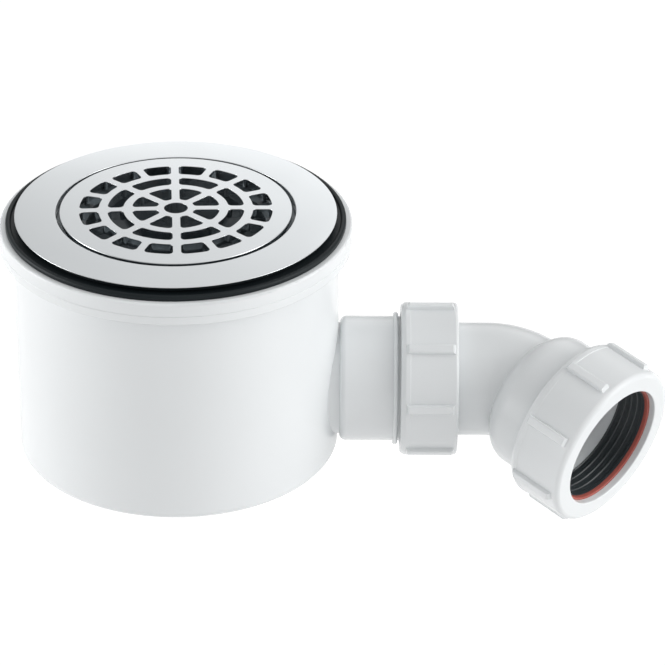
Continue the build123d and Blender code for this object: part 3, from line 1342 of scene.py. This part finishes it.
@dataclass
class Studio:
    """Pale floor, soft light and the photograph's camera. The floor and the clip ends are in metres."""

    focal_pixels: float = 3499.156
    camera_place: Vector = Vector((54.71758, -1083.34093, 553.63272))
    camera_right: Vector = Vector((0.99996488, 0.00405748, 0.00733342))
    camera_up: Vector = Vector((-0.00838106, 0.48410812, 0.87496805))
    clip_start: float = 0.01
    clip_end: float = 50.0
    floor_drop: float = 0.30
    floor_size: float = 6.0
    floor_colour: Colour = (0.9, 0.9, 0.9, 1.0)
    floor_roughness: float = 0.9
    floor_specular: float = 0.1
    floor_glow: float = 0.24
    ambient: float = 0.25
    glows: tuple[Glow, ...] = (
        Glow(azimuth=175.0, elevation=10.0, tightness=25.0, strength=7.8),
        Glow(azimuth=195.0, elevation=10.0, tightness=25.0, strength=1.75),
        Glow(azimuth=345.0, elevation=10.0, tightness=25.0, strength=5.25),
        Glow(azimuth=5.0, elevation=32.0, tightness=12.0, strength=1.33),
        Glow(azimuth=337.5, elevation=42.0, tightness=7.4, strength=0.93),
        Glow(azimuth=270.0, elevation=20.0, tightness=7.4, strength=0.37),
        Glow(azimuth=135.0, elevation=25.0, tightness=12.0, strength=0.3),
        Glow(azimuth=93.0, elevation=15.0, tightness=60.0, strength=0.89),
        Glow(azimuth=77.0, elevation=27.0, tightness=60.0, strength=0.98),
        Glow(azimuth=93.0, elevation=27.0, tightness=60.0, strength=0.12),
        Glow(azimuth=93.0, elevation=39.0, tightness=60.0, strength=0.26),
        Glow(azimuth=109.0, elevation=39.0, tightness=60.0, strength=0.31),
        Glow(azimuth=0.0, elevation=90.0, tightness=8.0, strength=0.4),
    )

    def camera(self) -> None:
        """Add the camera at the photograph's place and angle."""
        lens = bpy.data.cameras.new("photo_camera")
        lens.sensor_width = SENSOR_WIDTH
        lens.lens = self.focal_pixels * SENSOR_WIDTH / PHOTO_WIDTH
        lens.clip_start = self.clip_start
        lens.clip_end = self.clip_end
        holder = bpy.data.objects.new("photo_camera", lens)
        bpy.context.scene.collection.objects.link(holder)
        back = self.camera_right.cross(self.camera_up).normalized()
        up = back.cross(self.camera_right).normalized()
        right = up.cross(back)
        turn = Matrix((right, up, back)).transposed().to_4x4()
        holder.matrix_world = Matrix.Translation(self.camera_place * MM) @ turn
        bpy.context.scene.camera = holder

    def floor(self, lowest: float) -> None:
        """Add the pale floor under the object.

        Args:
            lowest: Lowest height of the object in metres.
        """
        deselect_all()
        height = lowest - self.floor_drop
        bpy.ops.mesh.primitive_plane_add(size=self.floor_size, location=(0.0, 0.0, height))
        sheet = bpy.context.object
        sheet.name = "studio_floor"
        pale = bpy.data.materials.new("pale_floor")
        pale.use_nodes = True
        tree = pale.node_tree
        rays = add_node(tree, "LightPath", {})
        seen = math_node(tree, "MAXIMUM", rays["Is Camera Ray"], rays["Is Glossy Ray"])
        surface = {
            "Base Color": self.floor_colour,
            "Roughness": self.floor_roughness,
            "Specular IOR Level": self.floor_specular,
            "Emission Color": WHITE,
            "Emission Strength": math_node(tree, "MULTIPLY", seen, self.floor_glow),
        }
        set_inputs(tree, tree.nodes["Principled BSDF"], surface)
        sheet.data.materials.append(pale)
        sheet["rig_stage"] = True

    def surroundings(self) -> None:
        """Set the surroundings: dim all round, with bright patches, and white to the camera."""
        world = bpy.data.worlds.new("studio_surroundings")
        bpy.context.scene.world = world
        world.use_nodes = True
        tree = world.node_tree
        towards = add_node(tree, "TexCoord", {})["Generated"]
        total: float | NodeSocket = self.ambient
        for glow in self.glows:
            total = math_node(tree, "ADD", total, glow.add(tree, towards))
        direct = add_node(tree, "LightPath", {})["Is Camera Ray"]
        seen = add_node(tree, "Mix", {"Factor": direct, "A": total, "B": 1.0})["Result"]
        set_inputs(tree, tree.nodes["Background"], {"Color": WHITE, "Strength": seen})

    def build(self, lowest: float) -> None:
        """Add the whole studio.

        Args:
            lowest: Lowest height of the object in metres.
        """
        self.camera()
        self.floor(lowest)
        self.surroundings()
        bpy.context.scene.view_settings.view_transform = "Standard"


def outlet_axle(swivel: dict[str, object], screw: dict[str, object]) -> Axle:
    """Find the line of the outlet socket.

    Args:
        swivel: Joint of the bend on the spigot.
        screw: Joint of the nut on the socket.

    Returns:
        The line, with its origin where it crosses the spigot's line.
    """
    direction = Vector(screw["axis"]).normalized()
    spigot = Vector(swivel["axis"]).normalized()
    normal = spigot.cross(direction).normalized()
    point = Vector(screw["pos_m"])
    reach = point - Vector(swivel["pos_m"])
    side = reach - spigot * reach.dot(spigot)
    along = side.length / (direction - spigot * direction.dot(spigot)).length
    return Axle((point - direction * along) / MM, direction, normal)


def main() -> None:
    """Build the trap piece by piece and stand it in the studio."""
    logging.basicConfig(level=logging.INFO, format="%(name)s %(message)s")
    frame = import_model()
    cad_low, cad_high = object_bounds()
    joints = {joint["name"]: joint for joint in frame["joints"]}
    swivel = joints["elbow_swivel"]
    tray = Axle(Vector(), Z_AXIS, X_AXIS)
    spigot = Axle(Z_AXIS * (swivel["pos_m"][2] / MM), X_AXIS, Z_AXIS)
    outlet = outlet_axle(swivel, joints["outlet_screw"])
    MouldedWalls(tray, spigot, outlet).build(frame["nodes"])
    FlangePlate(tray).build()
    DrainGrid(tray).build()
    TraySeal(tray).build()
    RibbedNut(
        body=Body.UNION_NUT,
        axle=spigot,
        hole=20.45,
        bore=23.75,
        outer=27.05,
        rear=78.9,
        lip_start=96.1,
        front=99.1,
        first_rib=38.8,
        front_margin=1.0,
        front_edge=Edge.UNION_FRONT,
        thread_start=SPIGOT_THREAD_START + PIPE_THREAD.pitch / 2,
        thread_turns=4.0,
    ).build()
    RibbedNut(
        body=Body.OUTLET_NUT,
        axle=outlet,
        hole=22.7,
        bore=26.6,
        outer=29.9,
        rear=26.156,
        lip_start=45.456,
        front=47.956,
        first_rib=6.2,
        front_margin=2.6,
        front_edge=Edge.OUTLET_FRONT,
        thread_start=SOCKET_THREAD_START - PIPE_THREAD.pitch / 2,
        thread_turns=5.2,
    ).build()
    OutletPacking(outlet).build()
    Studio().build(cad_low.z)
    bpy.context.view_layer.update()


if __name__ == "__main__":
    main()
